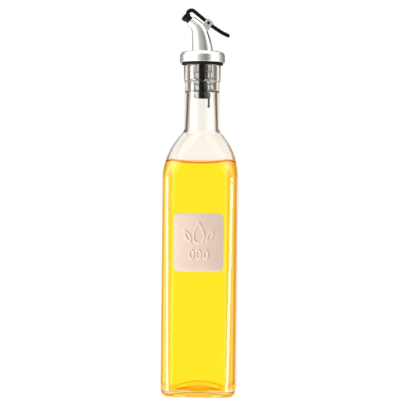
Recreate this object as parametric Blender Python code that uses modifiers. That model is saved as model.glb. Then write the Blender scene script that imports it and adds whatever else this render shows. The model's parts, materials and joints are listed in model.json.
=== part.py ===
"""Square glass oil bottle with a lever pourer, modelled at real size.

Metres, +Z up, origin at the centre of the base. The label is on the -Y face. The spout leans to -X,
and its lever's tail points to +X.
"""

from math import asin, atan2, cos, hypot, pi, radians, sin, sqrt, tau

import bmesh
import bpy
from mathutils import Matrix, Vector

# The gap left between pieces that touch in the real object.
GAP = 0.0003

# Bottle, outside
BODY_HALF = 0.030
CORNER_RADIUS = 0.009
HEEL_RADIUS = 0.006
SHOULDER_Z = 0.1752
SHOULDER_RADIUS = 0.054
NECK_FOOT_RADIUS = 0.0145
NECK_FILLET = 0.005
NECK_RADIUS = 0.0141
NECK_TOP_Z = 0.2325
LIP_FOOT_Z = 0.2540
LIP_RADIUS = 0.0150
LIP_TOP_Z = 0.2669
LIP_ROUND = 0.0014
PUNT_RADIUS = 0.0190
PUNT_DEPTH = 0.0046

# Bottle, inside
WALL = 0.0029
CAVITY_CORNER = 0.0080
CAVITY_HEEL = 0.0060
FLOOR_Z = 0.0056
DOME_HEIGHT = 0.0047
BORE_RADIUS = 0.0095
BORE_FOOT_Z = 0.2462
NECK_BORE_TOP_Z = 0.2446
NECK_BORE_RADIUS = 0.0107
NECK_BORE_FOOT_RADIUS = 0.0120
BORE_FILLET = 0.0060
BORE_ROUND = 0.0010
OIL_LEVEL_Z = 0.1880

# Label plate in its shallow recess
LABEL_WIDTH = 0.0392
LABEL_HEIGHT = 0.0460
LABEL_CORNER = 0.0045
LABEL_Z = 0.1239
RECESS_DEPTH = 0.0006
LABEL_THICKNESS = 0.0006
RELIEF = 0.0004
STROKE = 0.0014

# Pourer cap, gasket, clear stopper and black core
GASKET_RADIUS = 0.0169
GASKET_BORE = 0.0096
GASKET_THICKNESS = 0.0015
CAP_RADIUS = 0.0182
CAP_TOP_Z = 0.2779
CAP_ROUND = 0.0038
CAP_EDGE = 0.0006
COLLAR_DEPTH = 0.0055
FIN_RADIUS = BORE_RADIUS - GAP
SLEEVE_RADIUS = 0.0076
SLEEVE_FOOT_Z = 0.2406
FIN_COUNT = 4
FIN_PITCH = 0.0047
FIN_THICKNESS = 0.0013
LOWEST_FIN_Z = 0.2458
CORE_RADIUS = 0.0038
CORE_OFFSET_X = 0.0008
CORE_BORE = 0.0026
CORE_FOOT_Z = 0.2402
CORE_TOP_Z = 0.2750
VENT_RADIUS = 0.00095
VENT_X = 0.0054
VENT_TOP_Z = 0.2464
VENT_TIP_Z = 0.2326
VENT_BEAD_RADIUS = 0.0011

# Spout: each section runs from its front edge to its back edge in the XZ plane, with a half depth in Y
SPOUT_SECTIONS = (
    ((-0.0084, 0.2772), (0.0087, 0.2772), 0.0076),
    ((-0.0084, 0.2840), (0.0075, 0.2840), 0.0070),
    ((-0.0085, 0.2890), (0.0060, 0.2895), 0.0064),
    ((-0.0087, 0.2933), (0.0036, 0.2956), 0.0058),
    ((-0.0094, 0.2964), (0.0002, 0.3008), 0.0052),
    ((-0.0109, 0.2982), (-0.0033, 0.3037), 0.0047),
    ((-0.0128, 0.2998), (-0.0070, 0.3063), 0.0042),
)
SPOUT_FULLNESS = 0.8
SPOUT_BORE = 0.00275
MOUTH_CENTRE = Vector((-0.0100, 0.0, 0.30295))
MOUTH_TILT = radians(-48.6)

# Lever, its pivot and the ears that carry it
PIVOT = Vector((0.0048, 0.0, 0.3011))
PIN_RADIUS = 0.0011
PIN_CLEARANCE = 0.00015
EAR_HALF_WIDTH = 0.0028
EAR_REACH = 0.0027
EAR_ROOT = 0.0085
EAR_SLANT = radians(-53)
EAR_CORNER = 0.0013
EAR_INNER_Y = 0.0026
EAR_THICKNESS = 0.0013
LEVER_HALF_WIDTH = EAR_INNER_Y - GAP
LEVER_HALF_THICKNESS = 0.0014
LEVER_EDGE = 0.0004
LEVER_ROUTE = (
    (-0.01235, 0.3097),
    (-0.0113, 0.3110),
    (-0.0092, 0.3117),
    (-0.0071, 0.3108),
    (-0.0023, 0.3069),
    (0.0048, 0.3011),
    (0.0085, 0.2983),
    (0.0123, 0.2957),
    (0.0164, 0.2932),
    (0.0206, 0.2912),
)
HEAD_RADIUS = 0.0040
HEAD_FOOT = 0.0050
HEAD_RIM = 0.0011
HEAD_DOME = 0.0010

# Rubber plug, measured outwards from the plane of the spout's mouth
PLUG_FOOT = GAP
PLUG_FOOT_RADIUS = 0.0032
PLUG_WAIST_RADIUS = 0.0030
PLUG_WAIST = 0.0021
PLUG_RIM_RADIUS = 0.0039
PLUG_TOP = HEAD_FOOT - GAP
PLUG_TIP_RADIUS = 0.0023
PLUG_TIP_DEPTH = 0.00035

CORNER_STEPS = 9
ARC_STEPS = 8
TURN_STEPS = 32


def clear_scene():
    for obj in list(bpy.data.objects):
        bpy.data.objects.remove(obj, do_unlink=True)


def new_collection(name):
    collection = bpy.data.collections.new(name)
    bpy.context.scene.collection.children.link(collection)
    return collection


def new_material(name, colour, roughness, metallic=0.0, transmission=0.0, ior=1.5):
    material = bpy.data.materials.new(name)
    material.use_nodes = True
    shader = material.node_tree.nodes["Principled BSDF"]
    shader.inputs["Base Color"].default_value = (*colour, 1.0)
    shader.inputs["Roughness"].default_value = roughness
    shader.inputs["Metallic"].default_value = metallic
    shader.inputs["Transmission Weight"].default_value = transmission
    shader.inputs["IOR"].default_value = ior
    return material


def add_object(name, data, collection, material=None):
    obj = bpy.data.objects.new(name, data)
    collection.objects.link(obj)
    if material:
        data.materials.append(material)
    return obj


def make_helper(obj):
    """A cutter or a piece that a Boolean joins: it isn't a part by itself."""
    obj.hide_render = True
    obj.display_type = "WIRE"
    return obj


def boolean(obj, other, operation):
    modifier = obj.modifiers.new(f"{operation.lower()}_{other.name}", "BOOLEAN")
    modifier.operation = operation
    modifier.object = other


def shade(obj, angle=radians(35)):
    obj.data.shade_smooth()
    obj.data.set_sharp_from_angle(angle=angle)


def arc(centre, radius, start, end, steps):
    """Points (x, z) round a centre, from one angle to another."""
    angles = [start + (end - start) * k / steps for k in range(steps + 1)]
    return [(centre[0] + radius * cos(a), centre[1] + radius * sin(a)) for a in angles]


# Sections and lofts


def ring(half, corner, roundness, z):
    """A rounded square at height z. At roundness 1 its corners meet in one circle."""
    count = CORNER_STEPS + 1
    sweep = (pi / 2) * (1 - roundness / count)
    points = []
    for quarter in range(4):
        middle = pi / 4 + quarter * pi / 2
        shift = (half - corner) * sqrt(2)
        for k in range(count):
            angle = middle + (k / CORNER_STEPS - 0.5) * sweep
            x = shift * cos(middle) + corner * cos(angle)
            y = shift * sin(middle) + corner * sin(angle)
            points.append(Vector((x, y, z)))
    return points


def disc_ring(radius, z):
    return ring(radius, radius, 1.0, z)


def loft(name, rings, collection, material):
    """A closed skin through rings of equal point counts, flat across the first and the last."""
    bm = bmesh.new()
    rows = [[bm.verts.new(point) for point in points] for points in rings]
    for low, high in zip(rows, rows[1:]):
        for k in range(len(low)):
            n = (k + 1) % len(low)
            bm.faces.new((low[k], low[n], high[n], high[k]))
    bm.faces.new(rows[0])
    bm.faces.new(rows[-1])
    bmesh.ops.recalc_face_normals(bm, faces=bm.faces)
    mesh = bpy.data.meshes.new(name)
    bm.to_mesh(mesh)
    bm.free()
    obj = add_object(name, mesh, collection, material)
    shade(obj)
    return obj


def turned(name, profile, collection, material=None, closed=False, steps=TURN_STEPS):
    """Turns a profile of (radius, z) points round local Z. Its outer side runs from top to bottom."""
    mesh = bpy.data.meshes.new(name)
    count = len(profile)
    edges = [(k, (k + 1) % count) for k in range(count if closed else count - 1)]
    mesh.from_pydata([(x, 0.0, z) for x, z in profile], edges, [])
    obj = add_object(name, mesh, collection, material)
    screw = obj.modifiers.new("turn", "SCREW")
    screw.axis = "Z"
    screw.angle = tau
    screw.steps = steps
    screw.render_steps = steps
    screw.use_merge_vertices = True
    screw.merge_threshold = 0.00001
    screw.use_smooth_shade = True
    return obj


def cylinder(name, radius, centre, length, collection, vertices=24, along_y=False):
    rotation = (pi / 2, 0, 0) if along_y else (0, 0, 0)
    bpy.ops.mesh.primitive_cylinder_add(
        vertices=vertices, radius=radius, depth=length, location=centre, rotation=rotation
    )
    obj = bpy.context.object
    obj.name = name
    for old in list(obj.users_collection):
        old.objects.unlink(obj)
    collection.objects.link(obj)
    return obj


def mesh_from_curve(curve_object, collection):
    """The evaluated curve as a mesh object, with its caps welded."""
    graph = bpy.context.evaluated_depsgraph_get()
    mesh = bpy.data.meshes.new_from_object(curve_object.evaluated_get(graph))
    bm = bmesh.new()
    bm.from_mesh(mesh)
    bmesh.ops.remove_doubles(bm, verts=bm.verts, dist=0.000001)
    bm.to_mesh(mesh)
    bm.free()
    name = curve_object.name
    matrix = curve_object.matrix_world.copy()
    bpy.data.objects.remove(curve_object, do_unlink=True)
    obj = bpy.data.objects.new(name, mesh)
    obj.matrix_world = matrix
    collection.objects.link(obj)
    return obj


def plate(name, outlines, half_thickness, centre, collection, edge=0.0):
    """Flat outlines of (x, z) points, filled and extruded along Y about a centre."""
    curve = bpy.data.curves.new(name, "CURVE")
    curve.dimensions = "2D"
    curve.fill_mode = "BOTH"
    curve.extrude = half_thickness - edge
    curve.bevel_depth = edge
    curve.bevel_resolution = 1
    for points in outlines:
        spline = curve.splines.new("POLY")
        spline.points.add(len(points) - 1)
        spline.use_cyclic_u = True
        for point, (x, z) in zip(spline.points, points):
            point.co = (x, z, 0.0, 1.0)
    obj = add_object(name, curve, collection)
    obj.rotation_euler = (pi / 2, 0, 0)
    obj.location = centre
    bpy.context.view_layer.update()
    return mesh_from_curve(obj, collection)


def round_tube(name, points, radius, collection, resolution=3):
    curve = bpy.data.curves.new(name, "CURVE")
    curve.dimensions = "3D"
    curve.bevel_depth = radius
    curve.bevel_resolution = resolution
    curve.use_fill_caps = True
    spline = curve.splines.new("POLY")
    spline.points.add(len(points) - 1)
    for point, place in zip(spline.points, points):
        point.co = (*place, 1.0)
    obj = add_object(name, curve, collection)
    bpy.context.view_layer.update()
    return mesh_from_curve(obj, collection)


# Outlines


def rounded_rectangle(width, height, corner, steps=5):
    points = []
    for quarter in range(4):
        start = quarter * pi / 2
        x = (width / 2 - corner) * (1 if quarter in (0, 3) else -1)
        z = (height / 2 - corner) * (1 if quarter in (0, 1) else -1)
        points += arc((x, z), corner, start, start + pi / 2, steps)
    return points


def smooth_route(points, steps):
    """Points on a smooth curve through the given ones."""
    points = [Vector(p) for p in points]
    padded = [2 * points[0] - points[1], *points, 2 * points[-1] - points[-2]]
    route = []
    for a, b, c, d in zip(padded, padded[1:], padded[2:], padded[3:]):
        for k in range(steps):
            t = k / steps
            route.append(
                0.5 * (2 * b + (c - a) * t + (2 * a - 5 * b + 4 * c - d) * t**2 + (3 * b - a - 3 * c + d) * t**3)
            )
    return route + [points[-1]]


def strap_outline(route, half_thickness, end_steps=6):
    """The outline of a bar of even thickness along a route, with round ends."""
    sides = ([], [])
    for k, point in enumerate(route):
        along = (route[min(k + 1, len(route) - 1)] - route[max(k - 1, 0)]).normalized()
        across = Vector((-along.y, along.x)) * half_thickness
        sides[0].append(tuple(point + across))
        sides[1].append(tuple(point - across))
    caps = []
    for point, beyond in ((route[-1], route[-1] - route[-2]), (route[0], route[0] - route[1])):
        facing = atan2(beyond.y, beyond.x)
        caps.append(arc(point, half_thickness, facing + pi / 2, facing - pi / 2, end_steps)[1:-1])
    return sides[0] + caps[0] + sides[1][::-1] + caps[1]


def drop_outline(height, half_width, inset=0.0, steps=20):
    """An oil drop with its point up, centred on its own middle."""
    points = []
    for k in range(steps):
        turn = tau * k / steps
        x = half_width * sin(turn) * sin(turn / 2) ** 1.3
        z = height / 2 * cos(turn)
        points.append((x * (1 - inset / half_width), z * (1 - 1.5 * inset / (height / 2)) - inset / 4))
    return points


def leaf_outline(centre, length, half_width, slant, inset=0.0, steps=7):
    """A pointed leaf between two arcs, turned by slant."""
    half = length / 2 - 1.6 * inset
    width = half_width - inset
    points = []
    for side in (1, -1):
        for k in range(steps):
            share = k / steps
            x = half * (1 - 2 * share) * side
            z = width * sin(pi * share) * side
            turned_x = x * cos(slant) - z * sin(slant)
            turned_z = x * sin(slant) + z * cos(slant)
            points.append((centre[0] + turned_x, centre[1] + turned_z))
    return points


def oval_outline(centre, half_width, half_height, steps=12):
    return [
        (centre[0] + half_width * cos(tau * k / steps), centre[1] + half_height * sin(tau * k / steps))
        for k in range(steps)
    ]


# Bottle and oil


def fillet_to_line(arc_centre, arc_radius, line_x, fillet):
    """Centre height of a fillet that joins an arc to an upright line, and the arc's angle where it starts."""
    run = line_x + fillet - arc_centre[0]
    rise = sqrt((arc_radius + fillet) ** 2 - run**2)
    return arc_centre[1] + rise, atan2(rise, run)


def shoulder_rings(inset, corner, line_x, fillet, top_z=None):
    """Rings up the shoulder and through the small fillet at the neck's foot, or up to top_z."""
    centre = (BODY_HALF - SHOULDER_RADIUS, SHOULDER_Z)
    radius = SHOULDER_RADIUS - inset
    fillet_z, last = fillet_to_line(centre, radius, line_x, fillet)
    end_z = centre[1] + radius * sin(last)
    until = last if top_z is None else asin((top_z - centre[1]) / radius)
    rings = []
    for half, z in arc(centre, radius, 0.0, until, ARC_STEPS):
        roundness = (z - centre[1]) / (end_z - centre[1])
        rings.append(ring(half, corner + (half - corner) * roundness, roundness, z))
    if top_z is None:
        turn = arc((line_x + fillet, fillet_z), fillet, last + pi, pi, 4)[1:]
        rings += [disc_ring(radius_here, z) for radius_here, z in turn]
    return rings


def outer_rings():
    """The bottle's outside, from the middle of its underside to the top of its lip."""
    rings = []
    for share in (0.2, 0.5, 0.8, 1.0):
        rings.append(disc_ring(PUNT_RADIUS * share, PUNT_DEPTH * (1 - share**2)))
    foot = BODY_HALF - HEEL_RADIUS
    foot_corner = CORNER_RADIUS - HEEL_RADIUS
    for x, z in arc((foot, HEEL_RADIUS), HEEL_RADIUS, -pi / 2, 0.0, 5):
        rings.append(ring(x, foot_corner + x - foot, 0.0, z))
    rings += shoulder_rings(0.0, CORNER_RADIUS, NECK_FOOT_RADIUS, NECK_FILLET)
    rings.append(disc_ring(NECK_RADIUS, NECK_TOP_Z))
    step = LIP_RADIUS - NECK_RADIUS
    rings.append(disc_ring(NECK_RADIUS, LIP_FOOT_Z - step))
    rings.append(disc_ring(LIP_RADIUS - step / 3, LIP_FOOT_Z - step / 2))
    rings.append(disc_ring(LIP_RADIUS, LIP_FOOT_Z))
    for x, z in arc((LIP_RADIUS - LIP_ROUND, LIP_TOP_Z - LIP_ROUND), LIP_ROUND, 0.0, pi / 2, 3):
        rings.append(disc_ring(x, z))
    return rings


def cavity_rings(inset, top_z=None):
    """The bottle's inside from the middle of its floor upwards, shrunk by inset, to the bore or to top_z."""
    rings = []
    heel_half = BODY_HALF - WALL - CAVITY_HEEL
    floor_z = FLOOR_Z + inset
    for share in (0.25, 0.6, 0.9):
        rings.append(disc_ring(heel_half * share, floor_z + DOME_HEIGHT * (1 - share**2)))
    heel_corner = CAVITY_CORNER - CAVITY_HEEL
    heel = CAVITY_HEEL - inset
    for x, z in arc((heel_half, FLOOR_Z + CAVITY_HEEL), heel, -pi / 2, 0.0, 4):
        rings.append(ring(x, heel_corner + x - heel_half, 0.0, z))
    rings += shoulder_rings(WALL + inset, CAVITY_CORNER - inset, NECK_BORE_FOOT_RADIUS, BORE_FILLET, top_z)
    if top_z is None:
        rings.append(disc_ring(NECK_BORE_RADIUS, NECK_BORE_TOP_Z))
        rings.append(disc_ring(BORE_RADIUS, BORE_FOOT_Z))
        for x, z in arc((BORE_RADIUS + BORE_ROUND, LIP_TOP_Z - BORE_ROUND), BORE_ROUND, pi, pi / 2, 3):
            rings.append(disc_ring(x, z))
    return rings


def build_bottle(parts, helpers, material):
    bottle = loft("bottle", outer_rings() + cavity_rings(0.0)[::-1], parts, material)
    recess = plate(
        "label_recess",
        [rounded_rectangle(LABEL_WIDTH + 2 * GAP, LABEL_HEIGHT + 2 * GAP, LABEL_CORNER + GAP)],
        RECESS_DEPTH,
        (0.0, -BODY_HALF, LABEL_Z),
        helpers,
    )
    boolean(bottle, make_helper(recess), "DIFFERENCE")


def build_oil(parts, material):
    loft("oil", cavity_rings(GAP, OIL_LEVEL_Z), parts, material)


# Label


def label_motif():
    """A raised oil drop between two leaves, over a row of three olives, all drawn with an even stroke."""
    drop_z = 0.0078
    outlines = []
    for inset in (0.0, STROKE):
        outlines.append([(x, z + drop_z) for x, z in drop_outline(0.0185, 0.0066, inset)])
        for side in (1, -1):
            slant = radians(90 - side * 28)
            outlines.append(leaf_outline((side * 0.0088, 0.0048), 0.0118, 0.0024, slant, inset))
        for step in (-1, 0, 1):
            centre = (step * 0.0056, -0.0094)
            outlines.append(oval_outline(centre, 0.0024 - inset * 0.9, 0.0040 - inset))
    return outlines


def build_label(parts, helpers, material):
    back_y = -BODY_HALF + RECESS_DEPTH - GAP
    middle = back_y - LABEL_THICKNESS / 2
    outline = rounded_rectangle(LABEL_WIDTH, LABEL_HEIGHT, LABEL_CORNER)
    label = plate("label", [outline], LABEL_THICKNESS / 2, (0.0, middle, LABEL_Z), parts)
    label.data.materials.append(material)
    sunk = LABEL_THICKNESS / 2
    front = back_y - LABEL_THICKNESS
    relief = plate(
        "label_relief",
        label_motif(),
        (RELIEF + sunk) / 2,
        (0.0, front - (RELIEF - sunk) / 2, LABEL_Z),
        helpers,
    )
    boolean(label, make_helper(relief), "UNION")


# Pourer


def build_gasket(parts, material):
    foot = LIP_TOP_Z + GAP
    top = foot + GASKET_THICKNESS
    edge = 0.0003
    profile = [
        (GASKET_BORE, top),
        (GASKET_RADIUS - edge, top),
        (GASKET_RADIUS, top - edge),
        (GASKET_RADIUS, foot + edge),
        (GASKET_RADIUS - edge, foot),
        (GASKET_BORE, foot),
    ]
    turned("gasket", profile, parts, material, closed=True)


def build_stopper(parts, helpers, material):
    """The clear stopper: a collar in the mouth, a sleeve and the fins that seal against the bore."""
    top = LIP_TOP_Z + GAP + GASKET_THICKNESS
    profile = [(0.0, top), (FIN_RADIUS, top), (FIN_RADIUS, LIP_TOP_Z - COLLAR_DEPTH)]
    profile.append((SLEEVE_RADIUS + 0.0003, LIP_TOP_Z - COLLAR_DEPTH - 0.0006))
    for fin in reversed(range(FIN_COUNT - 1)):
        rim_z = LOWEST_FIN_Z + fin * FIN_PITCH
        profile += [
            (SLEEVE_RADIUS + 0.0003, rim_z + FIN_THICKNESS),
            (FIN_RADIUS, rim_z + FIN_THICKNESS * 0.6),
            (FIN_RADIUS - 0.0001, rim_z),
            (SLEEVE_RADIUS, rim_z - 0.0004),
        ]
    profile += [(SLEEVE_RADIUS - 0.0003, SLEEVE_FOOT_Z + 0.0004), (SLEEVE_RADIUS - 0.0007, SLEEVE_FOOT_Z)]
    profile.append((0.0, SLEEVE_FOOT_Z))
    stopper = turned("stopper", profile, parts, material)
    over = 0.003
    core_length = top - SLEEVE_FOOT_Z + 2 * over
    core_room = cylinder(
        "core_room",
        CORE_RADIUS + GAP,
        (CORE_OFFSET_X, 0.0, (top + SLEEVE_FOOT_Z) / 2),
        core_length,
        helpers,
        vertices=TURN_STEPS,
    )
    vent_top = VENT_TOP_Z + GAP
    vent_length = vent_top - SLEEVE_FOOT_Z + over
    vent_room = cylinder(
        "vent_room", VENT_RADIUS + GAP, (VENT_X, 0.0, vent_top - vent_length / 2), vent_length, helpers, 12
    )
    boolean(core_room, vent_room, "UNION")
    boolean(stopper, make_helper(core_room), "DIFFERENCE")
    make_helper(vent_room)


def build_core(parts, helpers, material):
    """The black inner tube with its thin vent pipe, which ends in a bead."""
    edge = 0.0004
    profile = [
        (CORE_BORE, CORE_TOP_Z),
        (CORE_RADIUS - edge, CORE_TOP_Z),
        (CORE_RADIUS, CORE_TOP_Z - edge),
        (CORE_RADIUS, CORE_FOOT_Z),
        (CORE_BORE, CORE_FOOT_Z),
    ]
    core = turned("core", profile, parts, material, closed=True, steps=28)
    core.location.x = CORE_OFFSET_X
    bead_z = VENT_TIP_Z + VENT_BEAD_RADIUS
    bead = arc((0.0, bead_z), VENT_BEAD_RADIUS, radians(47), -pi / 2, 5)
    vent_profile = [(0.0, VENT_TOP_Z), (VENT_RADIUS, VENT_TOP_Z), *bead[:-1], (0.0, VENT_TIP_Z)]
    vent = turned("vent_pipe", vent_profile, helpers, steps=12)
    vent.location.x = VENT_X
    boolean(core, make_helper(vent), "UNION")


def fuller(share):
    """Turns an ellipse's cosine or sine into that of a fuller oval, with flatter sides."""
    return abs(share) ** SPOUT_FULLNESS * (1 if share >= 0 else -1)


def spout_rings(points=28, steps=2):
    """Full oval sections along the spout, from inside the cap to the mouth."""
    stations = [
        ((front[0], front[1], back[0]), (back[1], depth, 0.0)) for front, back, depth in SPOUT_SECTIONS
    ]
    first = smooth_route([s[0] for s in stations], steps)
    second = smooth_route([s[1] for s in stations], steps)
    rings = []
    for (front_x, front_z, back_x), (back_z, depth, _) in zip(first, second):
        centre = Vector(((front_x + back_x) / 2, 0.0, (front_z + back_z) / 2))
        half = Vector(((back_x - front_x) / 2, 0.0, (back_z - front_z) / 2))
        side = Vector((0.0, depth, 0.0))
        turns = [tau * k / points for k in range(points)]
        rings.append([centre + half * fuller(cos(a)) + side * fuller(sin(a)) for a in turns])
    return rings


def spout_channel():
    """Centres of the spout's sections, from outside the mouth down into the cap."""
    outwards = Vector((sin(MOUTH_TILT), 0.0, cos(MOUTH_TILT)))
    centres = [
        Vector(((front[0] + back[0]) / 2, 0.0, (front[1] + back[1]) / 2))
        for front, back, _ in reversed(SPOUT_SECTIONS)
    ]
    start = [MOUTH_CENTRE + outwards * 0.003, MOUTH_CENTRE]
    end = Vector((CORE_OFFSET_X, 0.0, CORE_TOP_Z - 0.001))
    return smooth_route([*start, *centres[1:], end], 2)


def ear_outline():
    """A rounded ear round the pivot, whose root lies in the spout."""
    root = -EAR_ROOT
    width = 2 * EAR_HALF_WIDTH
    height = EAR_REACH - root
    turn = EAR_SLANT + pi / 2
    points = []
    for x, z in rounded_rectangle(width, height, EAR_CORNER, 3):
        z += (EAR_REACH + root) / 2
        points.append((x * cos(turn) + z * sin(turn), -x * sin(turn) + z * cos(turn)))
    return points


def build_pourer(parts, helpers, material):
    """The cap with its curved spout and the two ears of the hinge, in one moulding."""
    foot = LIP_TOP_Z + 2 * GAP + GASKET_THICKNESS
    profile = [(0.0, CAP_TOP_Z)]
    profile += arc((CAP_RADIUS - CAP_ROUND, CAP_TOP_Z - CAP_ROUND), CAP_ROUND, pi / 2, 0.0, 6)
    profile += arc((CAP_RADIUS - CAP_EDGE, foot + CAP_EDGE), CAP_EDGE, 0.0, -pi / 2, 2)
    profile.append((0.0, foot))
    pourer = turned("pourer", profile, parts, material, steps=40)

    spout = loft("spout", spout_rings(), helpers, None)
    boolean(pourer, make_helper(spout), "UNION")
    for side in (1, -1):
        middle_y = side * (EAR_INNER_Y + EAR_THICKNESS / 2)
        ear = plate(
            f"ear_{'back' if side == 1 else 'front'}",
            [ear_outline()],
            EAR_THICKNESS / 2,
            (PIVOT.x, middle_y, PIVOT.z),
            helpers,
        )
        boolean(pourer, make_helper(ear), "UNION")

    core_room = cylinder(
        "core_socket", CORE_RADIUS + GAP, (CORE_OFFSET_X, 0.0, CORE_TOP_Z + GAP - 0.005), 0.010, helpers
    )
    channel = round_tube("pour_channel", spout_channel(), SPOUT_BORE, helpers)
    pin_hole = cylinder("pin_hole", PIN_RADIUS + PIN_CLEARANCE, PIVOT, 0.016, helpers, 20, along_y=True)
    for cutter in (core_room, channel, pin_hole):
        boolean(pourer, make_helper(cutter), "DIFFERENCE")


def on_mouth(obj):
    """Stands an object turned about its own Z on the spout's mouth, with Z pointing out of it."""
    obj.matrix_world = Matrix.Translation(MOUTH_CENTRE) @ Matrix.Rotation(MOUTH_TILT, 4, "Y")
    return obj


def build_lever(parts, helpers, material):
    """The black lever: a bar from the head over the mouth, past the stub pins, to the thumb tail."""
    route = smooth_route([(x - PIVOT.x, z - PIVOT.z) for x, z in LEVER_ROUTE], 3)
    outline = strap_outline(route, LEVER_HALF_THICKNESS - LEVER_EDGE)
    lever = plate("lever", [outline], LEVER_HALF_WIDTH, PIVOT, parts, LEVER_EDGE)
    lever.data.materials.append(material)

    rim = HEAD_FOOT + HEAD_RIM
    profile = [(0.0, rim + HEAD_DOME), (HEAD_RADIUS * 0.5, rim + HEAD_DOME * 0.8)]
    profile += [(HEAD_RADIUS * 0.85, rim + HEAD_DOME * 0.35), (HEAD_RADIUS, rim)]
    profile += [(HEAD_RADIUS, HEAD_FOOT + 0.0002), (HEAD_RADIUS - 0.0002, HEAD_FOOT), (0.0, HEAD_FOOT)]
    head = on_mouth(turned("lever_head", profile, helpers, steps=28))
    pin_length = 2 * (EAR_INNER_Y + EAR_THICKNESS + 0.0001)
    pin = cylinder("lever_pin", PIN_RADIUS, PIVOT, pin_length, helpers, 20, along_y=True)
    for helper in (head, pin):
        boolean(lever, make_helper(helper), "UNION")


def build_plug(parts, material):
    """The rubber plug under the lever's head. Its tip is a shallow dome, so that it swings clear."""
    profile = [
        (0.0, PLUG_TOP),
        (PLUG_RIM_RADIUS, PLUG_TOP),
        (PLUG_RIM_RADIUS, PLUG_TOP - 0.0008),
        (PLUG_WAIST_RADIUS + 0.0003, PLUG_TOP - 0.0014),
        (PLUG_WAIST_RADIUS, PLUG_WAIST),
        (PLUG_FOOT_RADIUS, PLUG_FOOT + 0.0006),
        (PLUG_FOOT_RADIUS, PLUG_FOOT),
        (PLUG_TIP_RADIUS, PLUG_FOOT),
        (PLUG_TIP_RADIUS * 0.55, PLUG_FOOT - PLUG_TIP_DEPTH * 0.8),
        (0.0, PLUG_FOOT - PLUG_TIP_DEPTH),
    ]
    on_mouth(turned("plug", profile, parts, material, steps=28))


def main():
    clear_scene()
    parts = new_collection("oil_bottle")
    helpers = new_collection("cutters")

    glass = new_material("clear_glass", (1.0, 1.0, 1.0), 0.02, transmission=1.0)
    oil = new_material("golden_oil", (1.0, 0.83, 0.03), 0.02, transmission=1.0, ior=1.47)
    pearl = new_material("pearl_label", (0.80, 0.66, 0.55), 0.38, metallic=0.25)
    silver = new_material("satin_silver", (0.80, 0.80, 0.78), 0.25, metallic=1.0)
    black = new_material("black_plastic", (0.012, 0.012, 0.011), 0.35)
    rubber = new_material("black_rubber", (0.020, 0.020, 0.018), 0.60)
    clear = new_material("clear_silicone", (0.95, 0.96, 0.93), 0.10, transmission=0.95, ior=1.42)

    build_bottle(parts, helpers, glass)
    build_oil(parts, oil)
    build_label(parts, helpers, pearl)
    build_gasket(parts, rubber)
    build_stopper(parts, helpers, clear)
    build_core(parts, helpers, black)
    build_pourer(parts, helpers, silver)
    build_lever(parts, helpers, black)
    build_plug(parts, rubber)


main()
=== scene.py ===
"""The looks of the square glass oil bottle with its lever pourer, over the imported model.

Metres, +Z up, origin at the centre of the base. The label is on the -Y face. The spout leans to -X,
and its lever's tail points to +X. The glass, oil, label, stopper, pourer, lever and plug are made again
here with finer surfaces, in the places of the solids that they stand for. The core and the gasket are
the solids themselves, with a better finish.
"""

import json
from math import asin, atan2, cos, pi, radians, sin, sqrt, tau

import bmesh
import bpy
from mathutils import Matrix, Vector


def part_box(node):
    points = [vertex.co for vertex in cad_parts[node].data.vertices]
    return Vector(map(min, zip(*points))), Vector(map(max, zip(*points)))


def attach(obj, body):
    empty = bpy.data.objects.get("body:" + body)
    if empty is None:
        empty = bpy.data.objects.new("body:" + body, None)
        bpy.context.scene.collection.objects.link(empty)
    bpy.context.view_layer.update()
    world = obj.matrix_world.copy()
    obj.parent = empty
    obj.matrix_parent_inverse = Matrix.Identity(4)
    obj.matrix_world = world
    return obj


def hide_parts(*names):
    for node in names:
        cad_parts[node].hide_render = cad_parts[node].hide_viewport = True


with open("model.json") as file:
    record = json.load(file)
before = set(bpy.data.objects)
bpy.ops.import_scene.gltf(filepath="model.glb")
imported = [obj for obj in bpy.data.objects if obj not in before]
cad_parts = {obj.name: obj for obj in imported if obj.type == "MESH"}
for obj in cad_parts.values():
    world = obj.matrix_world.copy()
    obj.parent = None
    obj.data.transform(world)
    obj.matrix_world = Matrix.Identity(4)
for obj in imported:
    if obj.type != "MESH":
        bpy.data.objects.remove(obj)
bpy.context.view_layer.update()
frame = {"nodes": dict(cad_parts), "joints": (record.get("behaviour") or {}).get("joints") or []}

BOTTLE_BODY = "bottle_body"
LEVER_BODY = "lever_body"

# Photograph: 400 x 400 pixels, taken level with the middle of the bottle and a little from its right
CAMERA_DISTANCE = 1.30
CAMERA_AZIMUTH = radians(3.0)
CAMERA_ROLL = radians(0.57)
CAMERA_HEIGHT = 0.1576
CAMERA_AIM_X = -0.0009
PICTURE_WIDTH = 0.325
SENSOR_WIDTH = 36.0

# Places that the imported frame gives
BODY_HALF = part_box("bottle")[1].x
LIP_TOP_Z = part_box("bottle")[1].z
OIL_LEVEL_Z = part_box("oil")[1].z
LABEL_LOW, LABEL_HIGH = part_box("label")
POURER_LOW, POURER_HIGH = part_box("pourer")
CORE_TOP_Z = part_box("core")[1].z
STOPPER_LOW, STOPPER_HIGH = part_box("stopper")
HINGE = Vector(frame["joints"][0]["pos_m"])

# The gap that the solids leave between pieces, and the rounding of small edges
GAP = 0.0003
EDGE_ROUND = 0.0003

# Bottle, outside, as the solid has it
CORNER_RADIUS = 0.009
HEEL_RADIUS = 0.006
SHOULDER_Z = 0.1752
SHOULDER_RADIUS = 0.054
NECK_FOOT_RADIUS = 0.0145
NECK_FILLET = 0.005
NECK_RADIUS = 0.0141
NECK_TOP_Z = 0.2325
LIP_FOOT_Z = 0.2540
LIP_RADIUS = 0.0150
LIP_ROUND = 0.0014

# The swell from the neck to the lip, round the lip's foot, in parts of the step between them
LIP_SWELL_BELOW = 1.4
LIP_SWELL_ABOVE = 0.3
LIP_SWELL_RISE = 0.8

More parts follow.
